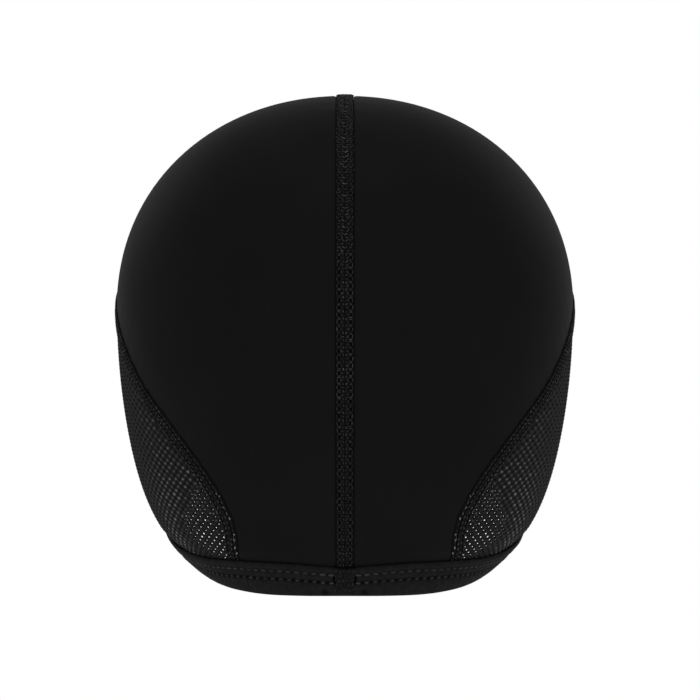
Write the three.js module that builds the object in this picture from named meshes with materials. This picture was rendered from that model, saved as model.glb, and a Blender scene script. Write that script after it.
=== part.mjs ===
// A helmet liner cap: a close fitting skull cap of stretch knit, cut to cover the ears and the
// nape. Two crown panels meet in a flat seam along the middle, a net panel lies over each ear
// inside a curved flat seam, and a folded binding takes in every lower edge.
//
// Millimetres. +Z is up, +Y points to the wearer's face and +X to the wearer's right. The origin
// is on the inside of the crown, where the top of the head touches it.
import * as THREE from "three";
import { mergeVertices } from "three/addons/utils/BufferGeometryUtils.js";

// The shell's outer surface
const CAP_WIDTH = 158.5; // across the ears, at the widest level
const BACK_DEPTH = 88; // from the ear line back to the bulge of the head
const FRONT_DEPTH = 106; // from the ear line forward to the forehead
const CAP_HEIGHT = 171.6; // from the top of the crown down to the nape edge

// The cloth and what joins it
const CROWN_WALL = 1.0; // knit of the crown panels
const NET_WALL = 1.0; // knit net of the ear panels
const MIDDLE_SEAM_WIDTH = 6.0; // flat seam from the nape over the crown to the forehead
const EAR_SEAM_WIDTH = 5.0; // flat seam round each ear panel
const MIDDLE_SEAM_RISE = 0.4; // how far the middle seam stands proud of the cloth
const EAR_SEAM_RISE = 0.8;
const BINDING_WIDTH = 10.6; // of the folded band along the lower edge
const BINDING_WALL = 1.0; // one layer of the folded band
const BINDING_TUCK = 0.9; // how far the binding draws the cloth in
const TUCK_RUN = 7; // the height over the binding in which the cloth comes in and seams flatten
const PIECE_GAP = 0.3; // between one piece and the next

// Outlines of the shell seen from behind (side) and from the side (back and front). Levels and
// tapers are shares: widest is the level of the widest point, dome the roundness over it, taper
// what the outline has lost at the nape level, and bend how late it loses it.
const OUTLINES = {
  side: { reach: CAP_WIDTH / 2, widest: 0.43, dome: 2.1, taper: 0.255, bend: 2.0 },
  back: { reach: BACK_DEPTH, widest: 0.52, dome: 2.25, taper: 0.2, bend: 2.2 },
  front: { reach: FRONT_DEPTH, widest: 0.5, dome: 2.35, taper: 0.12, bend: 2.0 },
};
const FULLNESS = 0.02; // how much fuller than an oval a level section is between its axes
const EAR_CURL = { depth: 0.36, bend: 8, spread: 4 }; // how the sides curl in under the ears
const LOWEST_DROP = 1.1; // where the outlines end, well under the nape edge

// Lines on the shell. turn is the angle round from the nape to the forehead, in degrees, and
// drop the share of the cap's height under the top of the crown.
const HEM_LINE = [
  { turn: 0, drop: 1.0 },
  { turn: 18, drop: 1.0 },
  { turn: 34, drop: 0.995 },
  { turn: 50, drop: 0.981 },
  { turn: 66, drop: 0.962 },
  { turn: 84, drop: 0.947 },
  { turn: 100, drop: 0.928 },
  { turn: 116, drop: 0.876 },
  { turn: 132, drop: 0.782 },
  { turn: 148, drop: 0.66 },
  { turn: 164, drop: 0.568 },
  { turn: 180, drop: 0.538 },
];
const EAR_SEAM_LINE = [
  { turn: 40, drop: 1.03 },
  { turn: 36.6, drop: 0.93 },
  { turn: 35.0, drop: 0.87 },
  { turn: 36.6, drop: 0.82 },
  { turn: 42, drop: 0.75 },
  { turn: 51, drop: 0.67 },
  { turn: 61, drop: 0.6 },
  { turn: 74, drop: 0.51 },
  { turn: 90, drop: 0.425 },
  { turn: 106, drop: 0.385 },
  { turn: 122, drop: 0.39 },
  { turn: 136, drop: 0.44 },
  { turn: 147, drop: 0.54 },
  { turn: 152, drop: 0.68 },
];

// How finely the faces follow the shell
const SEAM_STEPS = 36; // along every seam, and along the cloth on both sides of it
const END_STEPS = 2; // of those, inside the binding at each end, and again along the tuck
const CROWN_ROWS = 12; // across a crown panel, from the middle seam to the ear seam
const NET_ROWS = 7; // down an ear panel
const BINDING_STEPS = 88; // once round the hem
const FOLD_STEPS = 6; // round the fold at the binding's lower edge
const LINE_SAMPLES = 240; // of the hem, where heights over it are measured
const MIDDLE_STEP = 0.04; // of drop, between the points that shape the middle line
const HALVINGS = 44; // in each search for a point
const NORMAL_PROBE = 0.2; // how far round a point its normal is measured

const DEGREE = Math.PI / 180;
const TOP = CROWN_WALL; // the outer top of the crown
const HEART = new THREE.Vector3(0, 0, TOP - OUTLINES.side.widest * CAP_HEIGHT);
const DEEPEST_WALL = Math.max(CROWN_WALL, NET_WALL);
const BINDING_OUTSIDE = PIECE_GAP + BINDING_WALL;
const BINDING_INSIDE = -DEEPEST_WALL - PIECE_GAP - BINDING_WALL;
const FOLD_RADIUS = (BINDING_OUTSIDE - BINDING_INSIDE) / 2;
const SLOT_FLOOR = FOLD_RADIUS; // height of the slot's floor over the binding's lower edge
const CLOTH_FOOT = SLOT_FLOOR + PIECE_GAP; // height of every cloth edge held in the slot

const smooth = (t) => THREE.MathUtils.smoothstep(t, 0, 1);

// Half a width, or a depth, of the shell at a drop under the crown
function reachAt(outline, drop) {
  const { reach, widest, dome, taper, bend } = outline;
  if (drop < widest) return reach * (1 - (1 - Math.max(drop, 0) / widest) ** dome) ** (1 / dome);
  return reach * (1 - taper * ((drop - widest) / (1 - widest)) ** bend);
}

// How far out a level section reaches at a turn, as a share of the oval between its axes
function sectionShare(turn, drop) {
  const { widest } = OUTLINES.side;
  const low = Math.max(drop - widest, 0) / (1 - widest);
  const curl = EAR_CURL.depth * low ** EAR_CURL.bend * Math.sin(turn) ** EAR_CURL.spread;
  return 1 + FULLNESS * Math.sin(2 * turn) ** 2 - curl;
}

// The point of the shell at a turn round from the nape and a drop under the crown
function shellPoint(turnDegrees, drop) {
  const turn = turnDegrees * DEGREE;
  const depth = Math.cos(turn) > 0 ? OUTLINES.back : OUTLINES.front;
  const share = sectionShare(turn, drop);
  return new THREE.Vector3(
    reachAt(OUTLINES.side, drop) * Math.sin(turn) * share,
    -reachAt(depth, drop) * Math.cos(turn) * share,
    TOP - drop * CAP_HEIGHT,
  );
}

// The turn and the drop of a point
function placeOf(point) {
  const drop = (TOP - point.z) / CAP_HEIGHT;
  const depth = point.y < 0 ? OUTLINES.back : OUTLINES.front;
  const sideways = point.x / reachAt(OUTLINES.side, drop);
  const backwards = -point.y / reachAt(depth, drop);
  const turn = Math.atan2(sideways, backwards) / DEGREE;
  return { turn, drop, size: Math.hypot(sideways, backwards) };
}

function isInside(point) {
  const { turn, drop, size } = placeOf(point);
  return drop > 0 && drop < LOWEST_DROP && size < sectionShare(turn * DEGREE, drop);
}

// The point of the shell on the ray from its heart through a point near it
function ontoShell(near) {
  const ray = near.clone().sub(HEART).normalize();
  let low = 0;
  let high = 2 * (BACK_DEPTH + FRONT_DEPTH + CAP_HEIGHT);
  const at = new THREE.Vector3();
  for (let i = 0; i < HALVINGS; i++) {
    const middle = (low + high) / 2;
    at.copy(HEART).addScaledVector(ray, middle);
    if (isInside(at)) low = middle;
    else high = middle;
  }
  return at.copy(HEART).addScaledVector(ray, (low + high) / 2);
}

// The shell's outward normal at one of its points
function normalAt(point) {
  const out = point.clone().sub(HEART).normalize();
  const first = new THREE.Vector3(0, -out.z, out.y).normalize();
  if (first.lengthSq() < 0.5) first.set(0, 1, 0);
  const second = out.clone().cross(first);
  const shift = (way, by) => ontoShell(point.clone().addScaledVector(way, by));
  const a = shift(first, NORMAL_PROBE).sub(shift(first, -NORMAL_PROBE));
  const b = shift(second, NORMAL_PROBE).sub(shift(second, -NORMAL_PROBE));
  const normal = a.cross(b).normalize();
  return normal.dot(out) < 0 ? normal.negate() : normal;
}

// A curve through points, with a beside(share, distance) that steps off it along the shell.
// Positive distances lie to the left of the curve's way, seen from outside.
function lineOnShell(points, closed = false) {
  const curve = new THREE.CatmullRomCurve3(points, closed, "centripetal");
  curve.arcLengthDivisions = LINE_SAMPLES * 4;
  curve.beside = (share, distance) => {
    const at = ontoShell(curve.getPointAt(share));
    if (distance === 0) return at;
    const side = normalAt(at).cross(curve.getTangentAt(share)).normalize();
    return ontoShell(at.addScaledVector(side, distance));
  };
  return curve;
}

const onOtherSide = (point) => new THREE.Vector3(-point.x, point.y, point.z);

// The hem runs once round, from the nape over the right ear to the forehead and back.
const rightHem = HEM_LINE.map(({ turn, drop }) => shellPoint(turn, drop));
const hem = lineOnShell([...rightHem, ...rightHem.slice(1, -1).reverse().map(onOtherSide)], true);

// The right half of a line at a height over the hem, as turns and drops
function hemParallel(height) {
  const line = [];
  for (let i = 0; i <= LINE_SAMPLES; i++) {
    line.push(placeOf(hem.beside(i / LINE_SAMPLES / 2, height)));
  }
  return line;
}
const footLevel = hemParallel(CLOTH_FOOT);
const endLevels = [footLevel, hemParallel(BINDING_WIDTH), hemParallel(BINDING_WIDTH + TUCK_RUN)];

// The drop at a turn of a line that runs round at a height over the hem
function dropOf(level, turn) {
  const last = level.length - 1;
  const next = level.findIndex((place) => place.turn >= turn);
  if (next === 0) return level[0].drop;
  if (next < 0) return level[last].drop;
  const [a, b] = [level[next - 1], level[next]];
  return THREE.MathUtils.mapLinear(turn, a.turn, b.turn, a.drop, b.drop);
}

const footPoint = (turn) => ontoShell(shellPoint(turn, dropOf(footLevel, turn)));

const hemSamples = Array.from({ length: LINE_SAMPLES }, (_, i) => hem.getPointAt(i / LINE_SAMPLES));

function heightOverHem(point) {
  return Math.sqrt(Math.min(...hemSamples.map((sample) => sample.distanceToSquared(point))));
}

// 0 where the binding holds the cloth, and 1 where the cloth lies free over it
const freeOfBinding = (point) => smooth((heightOverHem(point) - BINDING_WIDTH) / TUCK_RUN);

// A point at a distance from the cloth's outer face, inwards where negative
function offCloth(onShell, out) {
  const tuck = BINDING_TUCK * (1 - freeOfBinding(onShell));
  return onShell.clone().addScaledVector(normalAt(onShell), out - tuck);
}

// The middle seam's line lies in the plane between the ears. Like the ear seam's, it runs on
// past the hem at both ends.
function middlePoints() {
  const [nape, forehead] = [HEM_LINE[0], HEM_LINE[HEM_LINE.length - 1]];
  const nearTop = MIDDLE_STEP / 7;
  const points = [shellPoint(nape.turn, nearTop), shellPoint(0, 0), shellPoint(forehead.turn, nearTop)];
  for (let drop = MIDDLE_STEP; drop < nape.drop + 2 * MIDDLE_STEP; drop += MIDDLE_STEP) {
    points.unshift(shellPoint(nape.turn, drop));
  }
  for (let drop = MIDDLE_STEP; drop < forehead.drop + 2 * MIDDLE_STEP; drop += MIDDLE_STEP) {
    points.push(shellPoint(forehead.turn, drop));
  }
  return points;
}
const middleLine = lineOnShell(middlePoints());
const earLine = lineOnShell(EAR_SEAM_LINE.map(({ turn, drop }) => shellPoint(turn, drop)));

// The share of a line where its parallel at a distance crosses a level, between a share that
// lies below the level and one that lies above it
function crossing(line, distance, level, below, above) {
  for (let i = 0; i < HALVINGS; i++) {
    const middle = (below + above) / 2;
    const { turn, drop } = placeOf(line.beside(middle, distance));
    if (drop > dropOf(level, Math.abs(turn))) below = middle;
    else above = middle;
  }
  return (below + above) / 2;
}

// The stretch of a line's parallel that lies over the cloth's foot, as a function from 0 to 1.
// Its steps meet the binding's edge and the height where the tuck ends.
function parallel(line, distance) {
  const wellUp = 0.4;
  const first = endLevels.map((level) => crossing(line, distance, level, 0, wellUp));
  const last = endLevels.map((level) => crossing(line, distance, level, 1, 1 - wellUp));
  const knots = first.map((share, i) => ({ step: i * END_STEPS, share }));
  last.reverse().forEach((share, i) => {
    knots.push({ step: SEAM_STEPS - (last.length - 1 - i) * END_STEPS, share });
  });
  return (along) => {
    const step = along * SEAM_STEPS;
    const next = Math.max(knots.findIndex((knot) => knot.step >= step - 1e-9), 1);
    const [a, b] = [knots[next - 1], knots[next]];
    return line.beside(THREE.MathUtils.mapLinear(step, a.step, b.step, a.share, b.share), distance);
  };
}

// A closed wall from a grid of points on the shell. outer and inner give the two faces'
// distances from the cloth's outer face, for the grid's row and column as shares.
function wall(grid, outer, inner) {
  const rows = grid.length;
  const columns = grid[0].length;
  const corners = [];
  const corner = (i, j, face) => (i * columns + j) * 2 + face;
  grid.forEach((row, i) =>
    row.forEach((point, j) => {
      const [down, over] = [i / (rows - 1), j / (columns - 1)];
      corners.push(offCloth(point, outer(down, over, point)));
      corners.push(offCloth(point, inner(down, over, point)));
    }),
  );
  const faces = [];
  const quad = (a, b, c, d) => faces.push([a, b, c], [a, c, d]);
  for (let i = 0; i < rows - 1; i++) {
    for (let j = 0; j < columns - 1; j++) {
      const [n, e, s, w] = [
        [i, j],
        [i, j + 1],
        [i + 1, j + 1],
        [i + 1, j],
      ];
      quad(corner(...n, 0), corner(...e, 0), corner(...s, 0), corner(...w, 0));
      quad(corner(...w, 1), corner(...s, 1), corner(...e, 1), corner(...n, 1));
    }
  }
  const rim = [];
  for (let j = 0; j < columns - 1; j++) rim.push([0, j]);
  for (let i = 0; i < rows - 1; i++) rim.push([i, columns - 1]);
  for (let j = columns - 1; j > 0; j--) rim.push([rows - 1, j]);
  for (let i = rows - 1; i > 0; i--) rim.push([i, 0]);
  rim.forEach((here, k) => {
    const next = rim[(k + 1) % rim.length];
    quad(corner(...next, 0), corner(...here, 0), corner(...here, 1), corner(...next, 1));
  });
  return closedGeometry(corners, faces);
}

// One closed body from corners and triangles, with its faces turned outwards
function closedGeometry(corners, faces) {
  const loose = new THREE.BufferGeometry().setFromPoints(faces.flat().map((i) => corners[i]));
  const merged = mergeVertices(loose, 1e-3);
  const index = merged.index.array;
  const at = (i) => new THREE.Vector3().fromBufferAttribute(merged.attributes.position, i);
  let kept = [];
  let volume = 0;
  for (let i = 0; i < index.length; i += 3) {
    const [a, b, c] = [index[i], index[i + 1], index[i + 2]];
    if (a === b || b === c || c === a) continue;
    kept.push([a, b, c]);
    volume += at(a).dot(at(b).cross(at(c)));
  }
  if (volume < 0) kept = kept.map(([a, b, c]) => [a, c, b]);
  merged.setIndex(kept.flat());
  merged.computeVertexNormals();
  return merged;
}

// The same body on the other side of the middle plane
function mirrored(geometry) {
  const copy = geometry.clone().scale(-1, 1, 1);
  const index = Array.from(copy.index.array);
  for (let i = 0; i < index.length; i += 3) {
    [index[i + 1], index[i + 2]] = [index[i + 2], index[i + 1]];
  }
  copy.setIndex(index);
  copy.computeVertexNormals();
  return copy;
}

// Points on a surface patch between four edges, each a function of a share. The edges before
// and after run from the first to the last of start and end.
function patchPoint(start, end, before, after, along, over) {
  const blend = (a, b, t) => a.clone().lerp(b, t);
  const ruled = blend(start(along), end(along), over);
  const crossed = blend(before(over), after(over), along);
  const corners = blend(
    blend(start(0), start(1), along),
    blend(end(0), end(1), along),
    over,
  );
  return ontoShell(ruled.add(crossed).sub(corners));
}

// The cloth's foot between two points on it, as a function of a share
function footBetween(from, to) {
  const [first, last] = [placeOf(from).turn, placeOf(to).turn];
  return (share) => footPoint(THREE.MathUtils.lerp(first, last, share));
}

const gridOf = (steps, rows, pointAt) =>
  Array.from({ length: steps + 1 }, (_, i) =>
    Array.from({ length: rows + 1 }, (_, j) => pointAt(i / steps, j / rows)),
  );

// Right half of the crown, from the middle seam down to the ear seam
function crownPanel() {
  const middle = parallel(middleLine, -MIDDLE_SEAM_WIDTH / 2 - PIECE_GAP);
  const ear = parallel(earLine, EAR_SEAM_WIDTH / 2 + PIECE_GAP);
  const nape = footBetween(middle(0), ear(0));
  const forehead = footBetween(middle(1), ear(1));
  const grid = gridOf(SEAM_STEPS, CROWN_ROWS, (along, over) =>
    patchPoint(middle, ear, nape, forehead, along, over),
  );
  return wall(grid, () => 0, () => -CROWN_WALL);
}

// Shares up a column of the net, of a given height: the first rows meet the middle and the edge
// of the binding and the end of the tuck, and the others share what is left
function netRows(height) {
  const levels = [0, BINDING_WIDTH / 2, BINDING_WIDTH, BINDING_WIDTH + TUCK_RUN];
  const highest = levels[levels.length - 1];
  const squeeze = Math.min(1, height / (highest * 1.5));
  const shares = levels.map((level) => (squeeze * level) / height);
  const left = NET_ROWS - levels.length + 1;
  const start = shares[levels.length - 1];
  for (let row = 1; row <= left; row++) shares.push(THREE.MathUtils.lerp(start, 1, row / left));
  return shares;
}

// Net over the right ear, between the ear seam and the binding
function earNet() {
  const under = parallel(earLine, -EAR_SEAM_WIDTH / 2 - PIECE_GAP);
  const foot = footBetween(under(0), under(1));
  const grid = gridOf(SEAM_STEPS, NET_ROWS, (along, over) => {
    const [bottom, top] = [foot(along), under(along)];
    const rows = netRows(Math.max(heightOverHem(top), CLOTH_FOOT));
    return ontoShell(bottom.lerp(top, rows[Math.round(over * NET_ROWS)]));
  });
  return wall(grid, () => 0, () => -NET_WALL);
}

// A flat seam: a strip along a line, level with the cloth at its edges and proud between them.
// It flattens where it runs in under the binding.
function flatSeam(line, width, fullRise) {
  const columns = [-1, -0.8, 0, 0.8, 1];
  const lines = columns.map((column) => parallel(line, (column * width) / 2));
  const grid = gridOf(SEAM_STEPS, columns.length - 1, (along, over) =>
    lines[Math.round(over * (columns.length - 1))](along),
  );
  const isEdge = (over) => over === 0 || over === 1;
  const rise = (along, over, point) =>
    (isEdge(over) ? fullRise / 2 : fullRise) * freeOfBinding(point);
  return wall(grid, rise, () => -DEEPEST_WALL);
}

// The folded band's section, as heights over its lower edge and distances from the shell
function bindingSection() {
  const middle = (BINDING_OUTSIDE + BINDING_INSIDE) / 2;
  const section = [
    { height: BINDING_WIDTH, out: BINDING_OUTSIDE - BINDING_WALL / 4 },
    { height: BINDING_WIDTH - BINDING_WALL / 4, out: BINDING_OUTSIDE },
    { height: BINDING_WIDTH / 2, out: BINDING_OUTSIDE },
  ];
  for (let i = 0; i <= FOLD_STEPS; i++) {
    const angle = (i / FOLD_STEPS) * Math.PI;
    section.push({
      height: FOLD_RADIUS * (1 - Math.sin(angle)),
      out: middle + FOLD_RADIUS * Math.cos(angle),
    });
  }
  section.push(
    { height: BINDING_WIDTH / 2, out: BINDING_INSIDE },
    { height: BINDING_WIDTH, out: BINDING_INSIDE },
    { height: BINDING_WIDTH, out: BINDING_INSIDE + BINDING_WALL },
    { height: BINDING_WIDTH / 2, out: BINDING_INSIDE + BINDING_WALL },
    { height: SLOT_FLOOR, out: BINDING_INSIDE + BINDING_WALL },
    { height: SLOT_FLOOR, out: BINDING_OUTSIDE - BINDING_WALL },
    { height: BINDING_WIDTH / 2, out: BINDING_OUTSIDE - BINDING_WALL },
    { height: BINDING_WIDTH, out: BINDING_OUTSIDE - BINDING_WALL },
  );
  return section;
}

// The binding: its section carried once round the hem
function binding() {
  const section = bindingSection();
  const corners = [];
  for (let i = 0; i < BINDING_STEPS; i++) {
    section.forEach(({ height, out }) => {
      const onShell = hem.beside(i / BINDING_STEPS, height);
      corners.push(offCloth(onShell, out));
    });
  }
  const faces = [];
  const count = section.length;
  for (let i = 0; i < BINDING_STEPS; i++) {
    for (let j = 0; j < count; j++) {
      const [here, next] = [i * count, ((i + 1) % BINDING_STEPS) * count];
      const beyond = (j + 1) % count;
      faces.push([here + j, next + j, next + beyond], [here + j, next + beyond, here + beyond]);
    }
  }
  return closedGeometry(corners, faces);
}

const crownKnit = new THREE.MeshStandardMaterial({ color: 0x151516, roughness: 0.72 });
const earKnit = new THREE.MeshStandardMaterial({ color: 0x1c1c1d, roughness: 0.6 });
const seamThread = new THREE.MeshStandardMaterial({ color: 0x1b1b1c, roughness: 0.55 });
const bindingKnit = new THREE.MeshStandardMaterial({ color: 0x1d1d1e, roughness: 0.68 });

const cap = new THREE.Group();

function add(name, geometry, material) {
  const mesh = new THREE.Mesh(geometry, material);
  mesh.name = name;
  cap.add(mesh);
}

const rightCrown = crownPanel();
const rightNet = earNet();
const rightEarSeam = flatSeam(earLine, EAR_SEAM_WIDTH, EAR_SEAM_RISE);

add("crown_panel_right", rightCrown, crownKnit);
add("crown_panel_left", mirrored(rightCrown), crownKnit);
add("ear_net_right", rightNet, earKnit);
add("ear_net_left", mirrored(rightNet), earKnit);
add("ear_seam_right", rightEarSeam, seamThread);
add("ear_seam_left", mirrored(rightEarSeam), seamThread);
const middleSeam = flatSeam(middleLine, MIDDLE_SEAM_WIDTH, MIDDLE_SEAM_RISE);
add("middle_seam", middleSeam, seamThread);
add("hem_binding", binding(), bindingKnit);

export default cap;
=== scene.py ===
import math

import bpy
import numpy as np
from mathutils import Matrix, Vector


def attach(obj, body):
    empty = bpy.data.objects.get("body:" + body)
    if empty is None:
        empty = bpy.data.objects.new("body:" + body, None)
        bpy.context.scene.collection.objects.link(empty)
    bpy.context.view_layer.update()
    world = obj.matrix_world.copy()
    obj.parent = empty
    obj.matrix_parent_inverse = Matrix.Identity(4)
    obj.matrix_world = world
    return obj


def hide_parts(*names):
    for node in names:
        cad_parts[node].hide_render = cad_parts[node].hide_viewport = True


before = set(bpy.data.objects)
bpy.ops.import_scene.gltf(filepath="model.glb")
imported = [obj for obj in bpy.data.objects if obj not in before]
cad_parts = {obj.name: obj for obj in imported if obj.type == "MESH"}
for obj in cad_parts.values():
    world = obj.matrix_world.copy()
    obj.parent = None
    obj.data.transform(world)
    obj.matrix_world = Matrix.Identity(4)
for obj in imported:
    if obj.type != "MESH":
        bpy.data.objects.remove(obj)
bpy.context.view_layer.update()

# The shell's outer surface, as the solids have it
CAP_WIDTH = 0.1585
BACK_DEPTH = 0.088
FRONT_DEPTH = 0.106
CAP_HEIGHT = 0.1716
OUTLINES = {
    "side": {"reach": CAP_WIDTH / 2, "widest": 0.43, "dome": 2.1, "taper": 0.255, "bend": 2.0},
    "back": {"reach": BACK_DEPTH, "widest": 0.52, "dome": 2.25, "taper": 0.2, "bend": 2.2},
    "front": {"reach": FRONT_DEPTH, "widest": 0.5, "dome": 2.35, "taper": 0.12, "bend": 2.0},
}
FULLNESS = 0.02
EAR_CURL = {"depth": 0.36, "bend": 8, "spread": 4}
LOWEST_DROP = 1.1

# The cloth and what joins it
KNIT_WALL = 0.0010
NET_WALL = 0.0009
MIDDLE_SEAM = {"width": 0.0060, "rise": 0.0004, "pitch": 0.00243}
EAR_SEAM = {"width": 0.0050, "rise": 0.0006, "pitch": 0.0019}
BINDING_WIDTH = 0.0106
BINDING_WALL = 0.0010
BINDING_TUCK = 0.0009
TUCK_RUN = 0.007
SLOT_GAP = 0.0003
SEAM_GAP = 0.00006

# What sewing does to a crown panel's edges: the cloth dips into the seam near it, and puckers
# farther off in waves whose length sways
MIDDLE_EDGE = {"dip": 0.00022, "near": 0.001, "pucker": 0.00006, "far": 0.004, "wave": 0.0017, "sway": 0.011}
EAR_EDGE = {"dip": 0.0003, "near": 0.0008, "pucker": 0.00009, "far": 0.005, "wave": 0.0015, "sway": 0.009}

# Lines on the shell: the turn round from the nape to the forehead, in degrees, and the drop
# under the top of the crown, as a share of the cap's height
HEM_LINE = [
    {"turn": 0, "drop": 1.0},
    {"turn": 18, "drop": 1.0},
    {"turn": 34, "drop": 0.995},
    {"turn": 50, "drop": 0.981},
    {"turn": 66, "drop": 0.962},
    {"turn": 84, "drop": 0.947},
    {"turn": 100, "drop": 0.928},
    {"turn": 116, "drop": 0.876},
    {"turn": 132, "drop": 0.782},
    {"turn": 148, "drop": 0.66},
    {"turn": 164, "drop": 0.568},
    {"turn": 180, "drop": 0.538},
]
EAR_SEAM_LINE = [
    {"turn": 40, "drop": 1.03},
    {"turn": 36.6, "drop": 0.93},
    {"turn": 35.0, "drop": 0.87},
    {"turn": 36.6, "drop": 0.82},
    {"turn": 42, "drop": 0.75},
    {"turn": 51, "drop": 0.67},
    {"turn": 61, "drop": 0.6},
    {"turn": 74, "drop": 0.51},
    {"turn": 90, "drop": 0.425},
    {"turn": 106, "drop": 0.385},
    {"turn": 122, "drop": 0.39},
    {"turn": 136, "drop": 0.44},
    {"turn": 147, "drop": 0.54},
    {"turn": 152, "drop": 0.68},
]
MIDDLE_STEP = 0.04  # from one point of the middle line to the next
MIDDLE_FIRST = MIDDLE_STEP / 7  # and from the crown's top to the first

# A flat seam's thread, one rung of its ladder, for both sides of its middle: across in shares of
# half the seam's width, along and length in shares of the pitch, lean in degrees from the seam's
# way, thick in shares of the thread. What is left to chance has the same measures.
THREAD = 0.00040
# Stitches carry painted highlights in their colour, brighter or duller from one to the next
CHANCE_SHINE = 0.8  # how bright a stitch may be by chance
WANDER = {"along": 0.025, "across": 0.018, "lean": 6, "length": 0.07, "thick": 0.08}
LADDER = [
    {"across": 0.86, "along": 0.0, "lean": 6, "length": 0.62, "thick": 0.9},
    {"across": 0.65, "along": 0.40, "lean": 84, "length": 0.50, "thick": 0.95},
    {"across": 0.62, "along": 0.62, "lean": 98, "length": 0.54, "thick": 0.95},
    {"across": 0.18, "along": 0.5, "lean": 22, "length": 0.46, "thick": 1.2},
    {"across": 0.40, "along": 0.03, "lean": -14, "length": 0.5, "thick": 0.75},
    {"across": 0.22, "along": 0.97, "lean": -52, "length": 0.34, "thick": 0.7},
    {"across": 0.66, "along": 0.02, "lean": -58, "length": 0.42, "thick": 0.9, "only_near_top": True},
]
LADDER_HOLE = {"across": 0.66, "wide": 0.00030, "long": 0.00042, "deep": 0.0007}
# Near the crown's top the inner rungs lean over, grow longer and carry brighter painted highlights,
# the outer ones' painted highlights turn dull, and the painted shade in the needle's holes turns pale.
# By the nape the ladder is narrower and its painted highlights duller.
CROWN_RUNGS = {"from": -0.075, "to": -0.035, "lean": 46, "length": 0.42, "wander": 0.05, "gain": 0.05}
CROWN_FADE = {"outer": 0.45, "hole": 0.8}
INNER_RUNGS, OUTER_RUNGS = 0.4, 0.5
NAPE_RUNGS = {"from": -0.10, "to": -0.125, "narrow": 0.08, "dull": 0.4}
EAR_LADDER = [
    {"across": 0.78, "along": 0.0, "lean": 5, "length": 0.66, "thick": 0.85},
    {"across": 0.28, "along": 0.5, "lean": -16, "length": 0.62, "thick": 0.85},
]
EAR_HOLE = {"across": 0.5, "wide": 0.00032, "long": 0.0012, "deep": 0.00034}
# Small loops on the crown's side of the ear seam, coloured bright as painted glints, by their depth under
# the origin
EAR_GLINT_LOOPS = [0.1355, 0.1368, 0.1399, 0.1442, 0.1491, 0.1510, 0.1535, 0.1557]
GLINT_LOOP = {"across": 0.82, "height": 0.75, "length": 0.0011, "thick": 0.00052, "painted_shine": 0.9}
GLINT_LOOP_WANDER = {"along": 0.0006, "across": 0.00025, "lean": 0.6, "length": 0.3, "thick": 0.2}
INSIDE_LADDER = [
    {"across": 0.6, "along": 0.0, "lean": 0, "length": 0.9, "thick": 0.9},
    {"across": 0.3, "along": 0.5, "lean": 52, "length": 0.9, "thick": 0.9},
]

# Stitches of the binding: two rows outside, under its upper edge, and one inside
HEM_PITCH = 0.0028
HEM_ROWS = [
    {"under_edge": 0.0026, "length": 0.0020, "thick": 0.00080, "lean": 0, "pit": 0.0002},
    {"under_edge": 0.0055, "length": 0.0014, "thick": 0.00078, "lean": 0, "pit": 0.0005},
]
INSIDE_ROW = {"under_edge": 0.0038, "length": 0.0026, "thick": 0.00042, "lean": 62}
HEM_WANDER = {"lean": 3, "length": 0.08, "thick": 0.06}
# painted highlights of the binding's outer stitches: the least, and the share left to chance; beside the
# lump they are brighter
HEM_SHINE = {"least": 0.12, "chance": 0.5}
BESIDE_LUMP = {"clear": 0.0006, "reach": 0.0022, "length": 0.3, "thick": 0.25, "painted_shine": 0.84}

# The binding's edge and low relief. Heights are over its lower edge, and halves are half widths.
EDGE_RISE = {"height": 0.0018, "from": 0.030, "to": 0.072}  # the upper edge over the nape
EDGE_DIP = {"depth": 0.0019, "reach": 0.024, "bend": 1.4}  # and its dip towards the middle seam
EDGE_FOLLOWED = {"from": 0.0016, "to": 0.0050}  # the heights over which the face moves with it
EDGE_ROLL = {"under_edge": 0.0009, "half": 0.0006, "rise": 0.0002}
EDGE_TUCK = {"half": 0.0004, "deep": 0.0006}
# The dark entries are painted shade: in the rows' grooves and needle pits, in the dent, and in the troughs
# of the nape's ribs.
GROOVE = {"half": 0.0005, "deep": 0.00012, "dark": 0.15, "pit_for_full_shade": 0.0005}
FOOT_ROLL = {"height": 0.0034, "half": 0.0013, "rise": 0.0001, "drawn_in": 0.5}
BAND_SWAY = {"rise": 0.00008, "wave": 0.0067, "longer_wave": 0.0173}
NAPE_LUMP = {"half": 0.0034, "rise": 0.0005, "foot": 0.004}  # where the middle seam runs in under it
NAPE_CREASE = {"low": 0.0042, "high": 0.0086, "deep": 0.0006, "half": 0.0004, "fade": 0.0015}
NAPE_DENT = {"aside": 0.0066, "height": 0.0019, "deep": 0.0007, "dark": 0.8, "half": (0.0012, 0.0009)}
NAPE_RIBS = {"pitch": 0.00117, "rise": 0.00012, "dark": 0.3}
NAPE_BARS = {"across": 0.82, "columns": 6, "rows": 5, "low": 0.0032, "high": 0.0098}
NAPE_BAR = {"length": 0.0011, "thick": 0.00055, "painted_shine": 0.35}
BAR_WANDER = {"along": 0.00014, "height": 0.00025, "lean": 12, "length": 0.25}

# The net over the ears
NET_ACROSS = 0.0036  # from one hole to the next in a row, where the net lies easy
NET_DOWN = 0.00136  # from one row of holes to the next
NET_OVER_EAR = {"at": -0.015, "reach": 0.035, "gain": 0.5}  # drawn wider behind the ear
# A hole's radius where the net lies easy, and the most that it takes of the way to its cell's
# rim. It reaches a little farther towards the cell's corners.
NET_HOLE = {"radius": 0.00008, "uneven": 0.16, "to_corner": 1.18, "most": 0.62}
HOLE_DEPTH = 0.3  # how deep a hole's edge lies, as a share of the net's wall
NET_STRETCH = {"turn": 43, "drop": 0.9, "reach": 0.0125, "gain": 2.2, "uneven": 0.12}  # wider holes
KNOT_RISE = 0.00006
STRAND_RISE = -KNOT_RISE / 2
KNOT_WANDER = 0.00005
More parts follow.
